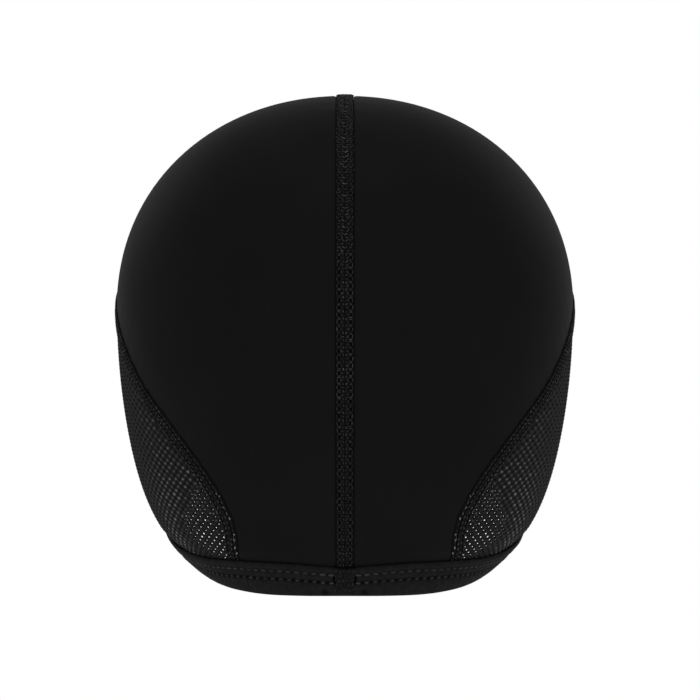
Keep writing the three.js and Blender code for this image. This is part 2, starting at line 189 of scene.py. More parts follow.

# Painted glints on the knots, in their colour. They are dull towards the front, and brighter low down. Where
# light shows through the wider holes they are dim, and beside that place brighter again.
KNOT_FRONT = {"from": 58, "to": 84, "least": 0.25}
KNOT_LOW = {"from": -0.112, "to": -0.147, "plain": 0.92, "gain": 0.16}
KNOT_DIM = {"reach": 0.0180, "dull": 0.45}
KNOT_GLINT = {"turn": 56, "drop": 0.9, "reach": 0.026, "gain": 0.22}
KNOT_UNEVEN = 0.12
STRAND_SHINE = 0.2

# How finely the cloth is modelled
CROWN_STEPS = 220
CROWN_ROWS = 72
CROWN_CROWDING = 0.8  # how much closer the rows lie beside the panel's two seams
STEPS_PER_STITCH = 5
SPLINE_STEPS = 80
LEVEL_SAMPLES = 400
HEM_SAMPLES = 900
POINTS_AT_ONCE = 1500
NET_SEAM_POINTS = 240
NET_FOOT_POINTS = 200
DRAWN_REACH = 0.16
DRAWN_SAMPLES = 1600
LOOP_SAMPLES = 600
HALVINGS = 27
NORMAL_PROBE = 0.0002
TINY = 1e-9

# The photograph's camera
PHOTO_PIXELS = 700
PIXEL = 0.0003476  # metres to a pixel, at the cap's middle
CAP_MIDDLE_PIXEL = 344.5  # column and row of the point half way down the cap
CAMERA_DISTANCE = 2.3
CAMERA_LEVEL = -0.0855

# The stage's floor and lights
FLOOR = {"radius": 1.7, "level": -0.34, "glow": 0.14}
CAP_MIDDLE = (0, 0, -0.07)
ROOM = {"light": 0.26, "seen": 1.0}

TOP = KNIT_WALL
HEART = np.array([0.0, 0.0, TOP - OUTLINES["side"]["widest"] * CAP_HEIGHT])
BINDING_OUTSIDE = SLOT_GAP + BINDING_WALL
BINDING_INSIDE = -KNIT_WALL - SLOT_GAP - BINDING_WALL
FOLD_RADIUS = (BINDING_OUTSIDE - BINDING_INSIDE) / 2
CLOTH_FOOT = FOLD_RADIUS + SLOT_GAP
SIDES = {"right": 1, "left": -1}

chance = np.random.default_rng(7)


def smooth(share):
    share = np.clip(share, 0, 1)
    return share * share * (3 - 2 * share)


def between(value, span):
    """From 0 at a span's start to 1 at its end."""
    return smooth((value - span["from"]) / (span["to"] - span["from"]))


def bump(distance, half_width):
    """1 at no distance, falling off like a bell."""
    return np.exp(-((distance / half_width) ** 2))


def unit(vectors):
    return vectors / np.maximum(np.linalg.norm(vectors, axis=-1, keepdims=True), TINY)


def reach_at(outline, drop):
    """Half a width, or a depth, of the shell at a drop under the crown."""
    o = OUTLINES[outline]
    over = np.clip(drop, 0, o["widest"]) / o["widest"]
    under = np.maximum(drop - o["widest"], 0) / (1 - o["widest"])
    dome = (1 - (1 - over) ** o["dome"]) ** (1 / o["dome"])
    return o["reach"] * np.where(drop < o["widest"], dome, 1 - o["taper"] * under ** o["bend"])


def section_share(turn, drop):
    """How far out a level section reaches at a turn, as a share of the oval between its axes."""
    widest = OUTLINES["side"]["widest"]
    low = np.maximum(drop - widest, 0) / (1 - widest)
    curl = EAR_CURL["depth"] * low ** EAR_CURL["bend"] * np.abs(np.sin(turn)) ** EAR_CURL["spread"]
    return 1 + FULLNESS * np.sin(2 * turn) ** 2 - curl


def shell_point(turn, drop):
    """The shell's point at a turn in radians and a drop."""
    turn, drop = np.broadcast_arrays(np.asarray(turn, float), np.asarray(drop, float))
    share = section_share(turn, drop)
    depth = np.where(np.cos(turn) > 0, reach_at("back", drop), reach_at("front", drop))
    across = reach_at("side", drop) * np.sin(turn) * share
    return np.stack([across, -depth * np.cos(turn) * share, TOP - drop * CAP_HEIGHT], axis=-1)


def place_of(points):
    """The turn and drop of points, and how far out they lie as a share of the oval."""
    drop = (TOP - points[..., 2]) / CAP_HEIGHT
    depth = np.where(points[..., 1] < 0, reach_at("back", drop), reach_at("front", drop))
    sideways = points[..., 0] / np.maximum(reach_at("side", drop), TINY)
    backwards = -points[..., 1] / np.maximum(depth, TINY)
    return np.arctan2(sideways, backwards), drop, np.hypot(sideways, backwards)


def on_shell(near):
    """The shell's points on the rays from its heart through points near it."""
    ray = unit(near - HEART)
    low = np.zeros(ray.shape[:-1])
    high = np.full(ray.shape[:-1], 2 * CAP_HEIGHT)
    for _ in range(HALVINGS):
        middle = (low + high) / 2
        turn, drop, size = place_of(HEART + ray * middle[..., None])
        inside = (drop > 0) & (drop < LOWEST_DROP) & (size < section_share(turn, drop))
        low = np.where(inside, middle, low)
        high = np.where(inside, high, middle)
    return HEART + ray * ((low + high) / 2)[..., None]


def normal_at(points):
    """The shell's outward normals at points on it."""
    out = unit(points - HEART)
    first = unit(np.stack([0 * out[..., 0], -out[..., 2], out[..., 1]], axis=-1))
    second = np.cross(out, first)
    a = on_shell(points + first * NORMAL_PROBE) - on_shell(points - first * NORMAL_PROBE)
    b = on_shell(points + second * NORMAL_PROBE) - on_shell(points - second * NORMAL_PROBE)
    normal = unit(np.cross(a, b))
    return normal * np.sign((normal * out).sum(-1, keepdims=True))


class Line:
    """A smooth curve on the shell through chosen points, followed by shares of its length."""

    def __init__(self, points, closed=False):
        before, after = 2 * points[:1] - points[1:2], 2 * points[-1:] - points[-2:-1]
        if closed:
            before, after = points[-1:], points[:2]
        knots = np.vstack([before, points, after])
        share = np.linspace(0, 1, SPLINE_STEPS, endpoint=False)[:, None]
        stretches = [self.stretch(*knots[i : i + 4], share) for i in range(len(knots) - 3)]
        self.points = np.vstack([*stretches, knots[-2:-1]])
        steps = np.linalg.norm(np.diff(self.points, axis=0), axis=1)
        self.length = steps.sum()
        self.shares = np.concatenate([[0], np.cumsum(steps)]) / self.length
        self.ways = unit(np.gradient(self.points, self.shares, axis=0))

    @staticmethod
    def stretch(a, b, c, d, share):
        """The curve from b to c, whose knots are spaced by the root of their distance."""
        before, here, after = (np.sqrt(np.linalg.norm(step)) for step in (b - a, c - b, d - c))
        leave = ((b - a) / before - (c - a) / (before + here) + (c - b) / here) * here
        arrive = ((c - b) / here - (d - b) / (here + after) + (d - c) / after) * here
        square = 3 * (c - b) - 2 * leave - arrive
        cube = 2 * (b - c) + leave + arrive
        return b + leave * share + square * share**2 + cube * share**3

    def read(self, table, share):
        return np.stack([np.interp(share, self.shares, column) for column in table.T], axis=-1)

    def way(self, share):
        return unit(self.read(self.ways, share))

    def beside(self, share, distance):
        """Points on the shell to the left of the line, seen from outside, or to its right where
        the distance is negative."""
        share, distance = np.broadcast_arrays(np.asarray(share, float), np.asarray(distance, float))
        at = on_shell(self.read(self.points, share))
        side = unit(np.cross(normal_at(at), self.way(share)))
        return on_shell(at + side * distance[..., None])


def line_points(rows):
    return np.array([shell_point(math.radians(row["turn"]), row["drop"]) for row in rows])


def middle_points():
    """The middle line lies between the ears and runs on past the hem at both ends."""
    nape = np.arange(MIDDLE_STEP, HEM_LINE[0]["drop"] + 2 * MIDDLE_STEP, MIDDLE_STEP)
    forehead = np.arange(MIDDLE_STEP, HEM_LINE[-1]["drop"] + 2 * MIDDLE_STEP, MIDDLE_STEP)
    back = [*nape[::-1], MIDDLE_FIRST, 0]
    front = [MIDDLE_FIRST, *forehead]
    return np.vstack([shell_point(0, back), shell_point(math.pi, front)])


right_hem = line_points(HEM_LINE)
hem = Line(np.vstack([right_hem, right_hem[-2:0:-1] * [-1, 1, 1]]), closed=True)
middle_line = Line(middle_points())
ear_line = Line(line_points(EAR_SEAM_LINE))
hem_samples = hem.read(hem.points, np.linspace(0, 1, HEM_SAMPLES, endpoint=False))


def from_hem(points):
    """Distances from the hem, and round it from the middle of the nape."""
    flat = points.reshape(-1, 3)
    heights, shares = [], []
    for some in np.array_split(flat, len(flat) // POINTS_AT_ONCE + 1):
        squares = ((some[:, None] - hem_samples[None]) ** 2).sum(-1)
        heights.append(np.sqrt(squares.min(-1)))
        shares.append(squares.argmin(-1) / HEM_SAMPLES)
    shape = points.shape[:-1]
    return np.concatenate(heights).reshape(shape), from_nape(np.concatenate(shares)).reshape(shape)


def from_nape(share):
    """The distance round the hem from the middle of the nape, over the right or the left."""
    return hem.length * ((share + 0.5) % 1 - 0.5)


def edge_shift(round_hem):
    """How far the binding's upper edge lies over its plain height."""
    aside = np.abs(round_hem)
    rise = 1 - between(aside, EDGE_RISE)
    dip = np.maximum(1 - aside / EDGE_DIP["reach"], 0) ** EDGE_DIP["bend"]
    return EDGE_RISE["height"] * rise - EDGE_DIP["depth"] * dip


def free_of_binding(points):
    """0 where the binding holds the cloth, and 1 where the cloth lies free over it."""
    return smooth((from_hem(points)[0] - BINDING_WIDTH) / TUCK_RUN)


def off_cloth(points, out):
    """Points at distances from the cloth's outer face, which the binding draws in."""
    tuck = BINDING_TUCK * (1 - free_of_binding(points))
    return points + normal_at(points) * (out - tuck)[..., None]


def level_over_hem(height):
    """The right half of the line at a height over the hem, as turns and drops."""
    turn, drop, _ = place_of(hem.beside(np.linspace(0, 0.5, LEVEL_SAMPLES), height))
    return np.abs(turn), drop


foot_level = level_over_hem(CLOTH_FOOT)


def stretch_over(line, distance, level):
    """The two shares between which a line's parallel lies over a level."""
    share = np.linspace(0, 1, LEVEL_SAMPLES)
    turn, drop, _ = place_of(line.beside(share, distance))
    over = np.interp(np.abs(turn), *level) - drop
    rise = np.flatnonzero((over[:-1] <= 0) & (over[1:] > 0))[0]
    fall = np.flatnonzero((over[:-1] > 0) & (over[1:] <= 0))[-1]
    return [share[i] - over[i] * (share[i + 1] - share[i]) / (over[i + 1] - over[i]) for i in (rise, fall)]


def parallel(line, distance, along):
    """Points on a line's parallel, from the cloth's foot at one end to its foot at the other."""
    first, last = stretch_over(line, distance, foot_level)
    return line.beside(first + (last - first) * along, distance)


def foot_between(start, end, share):
    """Points along the cloth's foot between two of its points."""
    turns = [place_of(point)[0] for point in (start, end)]
    turn = turns[0] + (turns[1] - turns[0]) * share
    return on_shell(shell_point(turn, np.interp(np.abs(turn), *foot_level)))


# Meshes


def new_piece(name, points, faces, uv=None, values=None):
    """A mesh object in the shared frame, with its place in its mesh."""
    mesh = bpy.data.meshes.new(name)
    mesh.from_pydata(points.tolist(), [], [list(face) for face in faces])
    if uv is not None:
        corners = np.empty(len(mesh.loops), np.int32)
        mesh.loops.foreach_get("vertex_index", corners)
        layer = mesh.uv_layers.new(name="cloth")
        layer.data.foreach_set("uv", uv[corners].astype(np.float32).ravel())
    for key, column in (values or {}).items():
        mesh.attributes.new(key, "FLOAT", "POINT").data.foreach_set("value", column.astype(np.float32))
    mesh.shade_smooth()
    piece = bpy.data.objects.new(name, mesh)
    bpy.context.scene.collection.objects.link(piece)
    return piece


def both_sides(name, points, faces, uv=None, values=None):
    """The same piece on the right and, mirrored, on the left."""
    pieces = {}
    for side, sign in SIDES.items():
        turned = [face if sign > 0 else face[::-1] for face in faces]
        pieces[side] = new_piece(f"{name}_{side}", points * [sign, 1, 1], turned, uv, values)
    return pieces


def turned_out(points, quads):
    """Four-cornered faces of a closed body, all turned outwards."""
    a, b, c, d = (points[quads[:, k]] for k in range(4))
    volume = (a * (np.cross(b, c) + np.cross(c, d))).sum()
    return quads if volume > 0 else quads[:, ::-1]


def grid_quads(rows, columns):
    i, j = np.meshgrid(np.arange(rows - 1), np.arange(columns - 1), indexing="ij")
    corner = (i * columns + j).ravel()
    return np.stack([corner, corner + columns, corner + columns + 1, corner + 1], axis=1)


def swept(sections, closed=False):
    """Points, faces and surface coordinates of a closed section, (stations, corners, 3), carried
    along a line. The section's corners run round it once."""
    stations, corners = sections.shape[:2]
    wrapped = np.concatenate([sections, sections[:, :1]], axis=1)
    ring = np.arange(stations if closed else stations - 1)[:, None] * corners
    ring_on = (ring + corners) % (stations * corners)
    here, on = np.arange(corners)[None], (np.arange(corners)[None] + 1) % corners
    quads = np.stack([ring + here, ring_on + here, ring_on + on, ring + on], axis=-1).reshape(-1, 4)
    points = sections.reshape(-1, 3)
    quads = turned_out(points, quads)
    faces = quads.tolist()
    if not closed:
        start = list(range(corners))
        end = list(range((stations - 1) * corners, stations * corners))
        first_edge = quads[0].tolist()
        runs_on = any(first_edge[k] == 0 and first_edge[(k + 1) % 4] == 1 for k in range(4))
        faces += [start[::-1], end] if runs_on else [start, end[::-1]]
    along = np.linalg.norm(np.diff(sections[:, :1], axis=0, prepend=sections[:1, :1]), axis=-1).cumsum()
    across = np.linalg.norm(np.diff(wrapped, axis=1), axis=-1).cumsum(axis=1)
    uv = np.stack([across, np.broadcast_to(along[:, None], across.shape)], axis=-1).reshape(-1, 2)
    return points, faces, uv


def pick_only(piece):
    """Makes a piece the only selected and active object."""
    bpy.ops.object.select_all(action="DESELECT")
    piece.select_set(True)
    bpy.context.view_layer.objects.active = piece


def give_wall(piece, wall):
    """Gives a sheet its wall, inwards from its outer face."""
    pick_only(piece)
    solid = piece.modifiers.new("wall", "SOLIDIFY")
    solid.thickness = wall
    solid.offset = -1
    bpy.ops.object.modifier_apply(modifier=solid.name)


def in_order(points, faces):
    """The same points and faces, in an order that every run gives alike."""
    order = np.lexsort(np.round(points, 4).T)
    rank = np.argsort(order)
    return points[order], sorted([rank[face].tolist() for face in faces], key=sorted)


def stitch_form():
    """One stitch, a unit long, wide and high, whose ends dip into the cloth."""
    end = 0.45
    bpy.ops.object.select_all(action="DESELECT")
    bpy.ops.mesh.primitive_uv_sphere_add(segments=6, ring_count=4, radius=0.5)
    stitch = bpy.context.object
    bpy.ops.object.mode_set(mode="EDIT")
    bpy.ops.transform.rotate(value=math.pi / 2, orient_axis="Y", center_override=(0, 0, 0))
    bpy.ops.mesh.select_all(action="DESELECT")
    bpy.ops.object.mode_set(mode="OBJECT")
    for vertex in stitch.data.vertices:
        vertex.select = abs(vertex.co.x) > end
    bpy.ops.object.mode_set(mode="EDIT")
    bpy.ops.transform.translate(value=(0, 0, -end))
    bpy.ops.object.mode_set(mode="OBJECT")
    points = np.array([vertex.co for vertex in stitch.data.vertices])
    faces = [list(face.vertices) for face in stitch.data.polygons]
    bpy.data.objects.remove(stitch)
    return in_order(points, faces)


STITCH = stitch_form()


def per_corner(values):
    """A value of each stitch, for all its corners."""
    return np.repeat(values, len(STITCH[0]))


def stitches(line, share, on_cloth, out, lean, length, thick, inside=False):
    """Points, faces and painted highlights of stitches, all copied from one. Each lies beside a
    line at a share of it, stands off the cloth, faces out or in, and leans from the line's way."""
    form, faces = STITCH
    normal = normal_at(on_cloth)
    left = unit(np.cross(normal, line.way(share)))
    way = np.cross(left, normal) * np.cos(lean)[:, None] + left * np.sin(lean)[:, None]
    up = -normal if inside else normal
    side = np.cross(up, way)
    stretched = way[:, None] * (form[None, :, :1] * length[:, None, None])
    thickened = side[:, None] * form[None, :, 1:2] + up[:, None] * form[None, :, 2:]
    points = off_cloth(on_cloth, out)[:, None] + stretched + thickened * thick[:, None, None]
    starts = range(0, len(share) * len(form), len(form))
    all_faces = [[corner + start for corner in face] for start in starts for face in faces]
    return points.reshape(-1, 3), all_faces, per_corner(CHANCE_SHINE * chance.random(len(share)))


# The crown panels


def sewn_edge(edge, away, run):
    """How far the cloth stands out, at distances from a seam and along it."""
    wave = np.sin(run / edge["wave"] + 2 * np.sin(run / edge["sway"]))
    dip = edge["dip"] * (1 - smooth(away / edge["near"]))
    return edge["pucker"] * np.exp(-away / edge["far"]) * wave - dip


def crown_sheet():
    """Points and surface coordinates of the right crown panel's outer face."""
    along = np.linspace(0, 1, CROWN_STEPS + 1)
    even = np.linspace(0, 1, CROWN_ROWS + 1)
    over = even - CROWN_CROWDING * np.sin(2 * math.pi * even) / (2 * math.pi)
    middle = parallel(middle_line, -MIDDLE_SEAM["width"] / 2 - SEAM_GAP, along)
    ear = parallel(ear_line, EAR_SEAM["width"] / 2 + SEAM_GAP, along)
    nape = foot_between(middle[0], ear[0], over)
    forehead = foot_between(middle[-1], ear[-1], over)
    a, o = along[:, None, None], over[None, :, None]
    ruled = middle[:, None] * (1 - o) + ear[:, None] * o
    crossed = nape[None] * (1 - a) + forehead[None] * a
    corners = (middle[0] * (1 - a) + middle[-1] * a) * (1 - o) + (ear[0] * (1 - a) + ear[-1] * a) * o
    sheet = on_shell(ruled + crossed - corners)

    from_middle = np.linalg.norm(sheet - sheet[:, :1], axis=-1)
    from_ear = np.linalg.norm(sheet - sheet[:, -1:], axis=-1)
    run = np.linalg.norm(np.diff(middle, axis=0, prepend=middle[:1]), axis=-1).cumsum()[:, None]
    out = sewn_edge(MIDDLE_EDGE, from_middle, run) + sewn_edge(EAR_EDGE, from_ear, run)
    steps = np.linalg.norm(np.diff(sheet, axis=1, prepend=sheet[:, :1]), axis=-1)
    uv = np.stack([steps.cumsum(axis=1), np.broadcast_to(run, steps.shape)], axis=-1)
    return off_cloth(sheet, out), uv


def make_crown():
    points, uv = crown_sheet()
    quads = grid_quads(*points.shape[:2])
    flat = points.reshape(-1, 3)
    a, b, d = (flat[quads[:, k]] for k in (0, 1, 3))
    outward = (np.cross(b - a, d - a) * (a - HEART)).sum() > 0
    faces = (quads if outward else quads[:, ::-1]).tolist()
    panels = both_sides("crown", flat, faces, uv.reshape(-1, 2))
    for panel in panels.values():
        give_wall(panel, KNIT_WALL)
    return panels


# The net over the ears

DROPS = np.linspace(0.3, 1.08, LEVEL_SAMPLES)  # from over the nets to under the hem
SIDE_LINE = shell_point(math.pi / 2, DROPS)
DOWN_SIDE = np.linalg.norm(np.diff(SIDE_LINE, axis=0, prepend=SIDE_LINE[:1]), axis=1).cumsum()


def mean_radius(forward, drop):
    depth = np.where(forward, reach_at("front", drop), reach_at("back", drop))
    return (reach_at("side", drop) + depth) / 2


def laid_flat(points):
    """Where points lie on the flat net: forward of the ear, and down from the temple."""
    turn, drop, _ = place_of(points)
    ahead = turn - math.pi / 2
    return np.stack([ahead * mean_radius(ahead > 0, drop), np.interp(drop, DROPS, DOWN_SIDE)], axis=-1)


def laid_on(flat):
    """The shell's points under points of the flat net."""
    drop = np.interp(flat[..., 1], DOWN_SIDE, DROPS)
    ahead = flat[..., 0] / mean_radius(flat[..., 0] > 0, drop)
    return shell_point(math.pi / 2 + ahead, drop)


def away_from(place, flat):
    """Distances of points of the flat net from a place on the shell."""
    return np.linalg.norm(flat - laid_flat(shell_point(math.radians(place["turn"]), place["drop"])), axis=1)


def net_outline():
    """The flat net's edge, once round."""
    along_seam = np.linspace(0, 1, NET_SEAM_POINTS)
    under_seam = parallel(ear_line, -EAR_SEAM["width"] / 2 - SEAM_GAP, along_seam)
    foot = foot_between(under_seam[-1], under_seam[0], np.linspace(0, 1, NET_FOOT_POINTS)[1:-1])
    return laid_flat(np.vstack([under_seam, foot]))


def is_within(outline, points):
    x, y = points[:, :1], points[:, 1:]
    (x0, y0), (x1, y1) = outline.T, np.roll(outline, -1, axis=0).T
    spans = (y0 > y) != (y1 > y)
    crosses = x < x0 + (y - y0) * (x1 - x0) / np.where(y1 == y0, TINY, y1 - y0)
    return (spans & crosses).sum(axis=1) % 2 == 1


def nearest_on(outline, points):
    start, step = outline[None], np.roll(outline, -1, axis=0)[None] - outline[None]
    share = ((points[:, None] - start) * step).sum(-1) / np.maximum((step**2).sum(-1), TINY**2)
    on_edge = start + step * np.clip(share, 0, 1)[..., None]
    closest = ((points[:, None] - on_edge) ** 2).sum(-1).argmin(axis=1)
    return on_edge[np.arange(len(points)), closest]


# A cell's rim: corners where four cells meet, and points half way between them, in quarter steps
# of the lattice
CELL_RIM = np.array([(2, 0), (1, 1), (0, 2), (-1, 1), (-2, 0), (-1, -1), (0, -2), (1, -1)])


def drawn_out(places):
    """Places across the flat net, moved apart behind the ear."""
    worn = np.linspace(-DRAWN_REACH, DRAWN_REACH, DRAWN_SAMPLES)
    wider = 1 + NET_OVER_EAR["gain"] * bump(worn - NET_OVER_EAR["at"], NET_OVER_EAR["reach"])
    easy = np.concatenate([[0], np.cumsum(np.diff(worn) / wider[1:])])
    easy = easy - np.interp(0, worn, easy)
    return np.stack([np.interp(places[..., 0], easy, worn), places[..., 1]], axis=-1)


def net_cells(outline):
    """Centres of the net's holes, in quarter steps of the lattice."""
    low, high = outline.min(axis=0), outline.max(axis=0)
    step = np.array([NET_ACROSS / 4, NET_DOWN / 2])
    first, last = np.floor(low / step / 2).astype(int), np.ceil(high / step / 2).astype(int)
    p, q = np.meshgrid(np.arange(first[0], last[0] + 1), np.arange(first[1], last[1] + 1))
    cells = 2 * np.stack([p.ravel(), q.ravel()], axis=1)[((p + q) % 2 == 0).ravel()]
    return cells[is_within(outline, drawn_out(cells * step))], step


def net_lattice(outline):
    """The net's knots and the middles of its strands, on the flat net; which of them are knots;
    the eight of them round each cell; and pairs of them on the net's edge."""
    cells, step = net_cells(outline)
    rims = cells[:, None] + CELL_RIM[None]
    knots, rim_index = np.unique(rims.reshape(-1, 2), axis=0, return_inverse=True)
    rim_index = rim_index.reshape(-1, 8)
    is_knot = knots[:, 0] % 2 == 0
    at = drawn_out(knots * step)
    at = at + chance.normal(0, KNOT_WANDER, at.shape) * is_knot[:, None]
    pairs = np.stack([rim_index, np.roll(rim_index, -1, axis=1)], axis=-1).reshape(-1, 2)
    sorted_pairs = np.sort(pairs, axis=1)
    kinds, kind_of, uses = np.unique(sorted_pairs, axis=0, return_inverse=True, return_counts=True)
    on_border = np.unique(kinds[uses == 1])
    at[on_border] = nearest_on(outline, at[on_border])
    return at, is_knot, rim_index, pairs[(uses == 1)[kind_of.ravel()]]


def hole_rings(at, rim_index):
    """Eight points round each hole, on the way from its middle to those of its cell's rim."""
    middles = at[rim_index].mean(axis=1)
    near = bump(away_from(NET_STRETCH, middles), NET_STRETCH["reach"])
    uneven = chance.normal(1, NET_HOLE["uneven"] + NET_STRETCH["uneven"] * near)
    radius = NET_HOLE["radius"] * (1 + NET_STRETCH["gain"] * near) * uneven
    arms = at[rim_index] - middles[:, None]
    reach = np.linalg.norm(arms, axis=-1, keepdims=True)
    shape = np.where(np.arange(8) % 2 == 0, NET_HOLE["to_corner"], 1.0)[None, :, None]
    drawn = np.minimum(radius[:, None, None] * shape, NET_HOLE["most"] * reach)
    return (middles[:, None] + arms / reach * drawn).reshape(-1, 2)


def painted_net_glints(at, points, is_knot):
    """The painted glints in the net yarn's colour, bright at the knots and faint on the strands, at places
    of the flat net and their points on the shell.
    """
    front = 1 - (1 - KNOT_FRONT["least"]) * between(np.degrees(place_of(points)[0]), KNOT_FRONT)
    low = KNOT_LOW["plain"] + KNOT_LOW["gain"] * between(points[:, 2], KNOT_LOW)
    dim = 1 - KNOT_DIM["dull"] * np.exp(-((away_from(NET_STRETCH, at) / KNOT_DIM["reach"]) ** 4))
    glint = 1 + KNOT_GLINT["gain"] * bump(away_from(KNOT_GLINT, at), KNOT_GLINT["reach"])
    bright = front * low * dim * glint * chance.normal(1, KNOT_UNEVEN, len(at))
    return np.where(is_knot, bright, STRAND_SHINE * bright)


def make_nets():
    """A net with a hole in each cell. Its strands are round, and thicker where they meet."""
    at, is_knot, here, border = net_lattice(net_outline())
    ring = hole_rings(at, here)
    rim_points, ring_points = laid_on(at), laid_on(ring)
    rise = np.where(is_knot, KNOT_RISE, STRAND_RISE)
    outer = off_cloth(rim_points, rise)
    inner = off_cloth(rim_points, -NET_WALL - rise)
    wall = off_cloth(ring_points, np.full(len(ring), -NET_WALL * HOLE_DEPTH))
    points = np.vstack([outer, inner, wall])

    count = len(at)
    on = np.roll(here, -1, axis=1)
    ring_here = 2 * count + np.arange(len(ring)).reshape(-1, 8)
    ring_on = np.roll(ring_here, -1, axis=1)
    front = np.stack([here, on, ring_on, ring_here], axis=-1).reshape(-1, 4)
    back = np.stack([here + count, ring_here, ring_on, on + count], axis=-1).reshape(-1, 4)
    start, end = border.T
    edge = np.stack([start, start + count, end + count, end], axis=-1)
    quads = turned_out(points, np.vstack([front, back, edge]))
    # painted glints: the yarn's colour is lifted at the knots
    painted_shine = painted_net_glints(at, rim_points, is_knot)
    painted_knot_glint = np.concatenate([painted_shine, painted_shine, np.zeros(len(ring))])
    return both_sides("net", points, quads.tolist(), np.vstack([at, at, ring]), {"painted_knot_glint": painted_knot_glint})


# Flat seams

STRIP_COLUMNS = np.array([0, 0.2, 0.36, 0.48, 0.58, 0.67, 0.76, 0.86, 0.95, 1.0])
STRIP_ACROSS = np.concatenate([-STRIP_COLUMNS[:0:-1], STRIP_COLUMNS])
FLANGE = 0.0007  # how far the seam's thread reaches under the cloth on both sides, inside
FLANGE_WALL = 0.00025
FLANGE_LEAST = 0.000012  # and how much of that wall is left where the binding holds it
STRIP_FALL = {"share": 0.75, "bend": 6}  # how a strip rounds off to its edges


def strip_height(seam, across):
    """How far a flat seam stands over the cloth, at a share of its half width."""
    return seam["rise"] * (1 - STRIP_FALL["share"] * np.abs(across) ** STRIP_FALL["bend"])


def pierced_height(seam, hole, across, phase):
    """The same with the needle's holes, at a share of a pitch, and how deep in one it is."""
    from_hole = (np.abs(across) - hole["across"]) * seam["width"] / 2
    past_hole = (phase - np.round(phase)) * seam["pitch"]
    pit = bump(from_hole, hole["wide"]) * bump(past_hole, hole["long"])
    return strip_height(seam, across) - hole["deep"] * pit, pit


def towards_top(points):
    """From 0 low on the cap to 1 near its top."""
    return between(points[..., 2], CROWN_RUNGS)


def seam_stretch(line, seam):
    """First share, last share and number of pitches of a seam, from inside one end of the
    binding to the other."""
    held = level_over_hem(CLOTH_FOOT + 2 * SLOT_GAP + seam["rise"])
    first, last = stretch_over(line, 0, held)
    return first, last, round(line.length * (last - first) / seam["pitch"])


def strip(line, seam, hole):
    """The raised strip of a flat seam, with the needle's holes pressed in on both sides."""
    first, last, pitches = seam_stretch(line, seam)
    phase = np.arange(pitches * STEPS_PER_STITCH + 1) / STEPS_PER_STITCH
    share = first + (last - first) * phase / pitches
    half = seam["width"] / 2
    flange = 1 + FLANGE / half
    under = np.array([flange, flange, 0.5, -0.5, -flange, -flange])
    across = np.concatenate([STRIP_ACROSS, [1.0], under, [-1.0]])
    on_cloth = line.beside(share[:, None], across[None] * half)
    free = free_of_binding(on_cloth)
    out = np.full(free.shape, -KNIT_WALL - SEAM_GAP)
    painted_pit_shade = np.zeros(free.shape)
    top = len(STRIP_ACROSS)
    rise, pit = pierced_height(seam, hole, STRIP_ACROSS[None], phase[:, None])
    out[:, :top] = rise * free[:, :top]
    # painted shade in the needle's holes, paler near the crown's top
    painted_pit_shade[:, :top] = pit * (1 - CROWN_FADE["hole"] * towards_top(on_cloth[:, :top]))
    low = slice(top + 2, top + 6)
    out[:, low] -= FLANGE_WALL * free[:, low] + FLANGE_LEAST
    return *swept(off_cloth(on_cloth, out)), {"pit": painted_pit_shade.ravel()}


def every_rung(rungs, seam, pitches):
    """All stitches of a ladder: along and across the seam, lean, length, thickness, and whether
    each lies near the crown's top alone."""
    rows = []
    for rung in rungs:
        for sign in SIDES.values():
            along = np.arange(pitches) + rung["along"] + chance.normal(0, WANDER["along"], pitches)
            across = sign * rung["across"] + chance.normal(0, WANDER["across"], pitches)
            lean = np.radians(sign * rung["lean"] + chance.normal(0, WANDER["lean"], pitches))
            length = rung["length"] * seam["pitch"] * chance.normal(1, WANDER["length"], pitches)
            thick = rung["thick"] * THREAD * chance.normal(1, WANDER["thick"], pitches)
            top_only = np.full(pitches, rung.get("only_near_top", False))
            rows.append([along, across, lean, length, thick, top_only])
    return np.hstack(rows)


def ladder(line, seam, rungs, inside=False, changes=False):
    """The threads of a flat seam, as stitches along it on both sides of its middle. Where it
    changes, it does so near the crown's top and by the nape."""
    first, last, pitches = seam_stretch(line, seam)
    half = seam["width"] / 2
    along, across, lean, length, thick, top_only = every_rung(rungs, seam, pitches)
    share = first + (last - first) * along / pitches
    on_cloth = line.beside(share, across * half)
    height, round_hem = from_hem(on_cloth)
    free = (height > BINDING_WIDTH + edge_shift(round_hem)) & (towards_top(on_cloth) >= 0.5 * top_only)
    across, lean, length, thick, share, on_cloth = (
        column[free] for column in (across, lean, length, thick, share, on_cloth)
    )
    high = changes * towards_top(on_cloth)
    low = changes * between(on_cloth[:, 2], NAPE_RUNGS) * (on_cloth[:, 1] < 0)
    across = across + chance.normal(0, CROWN_RUNGS["wander"], len(across)) * high
    on_cloth = line.beside(share, across * half * (1 - NAPE_RUNGS["narrow"] * low))
    inner, outer = high * (np.abs(across) < INNER_RUNGS), high * (np.abs(across) > OUTER_RUNGS)
    lean = lean + np.sign(across) * np.radians(CROWN_RUNGS["lean"]) * inner
    length = length * (1 + CROWN_RUNGS["length"] * inner)
    out = strip_height(seam, across) * free_of_binding(on_cloth)
    if inside:
        out = np.full(len(share), -KNIT_WALL - FLANGE_WALL - SEAM_GAP)
    points, faces, painted_shine = stitches(line, share, on_cloth, out, lean, length, thick, inside)
    # painted highlights: brighter on the inner rungs near the crown's top, duller on the outer ones there
    # and by the nape
    gain = 1 - NAPE_RUNGS["dull"] * low + CROWN_RUNGS["gain"] * inner - CROWN_FADE["outer"] * outer
    return points, faces, np.minimum(painted_shine * per_corner(gain), CHANCE_SHINE)


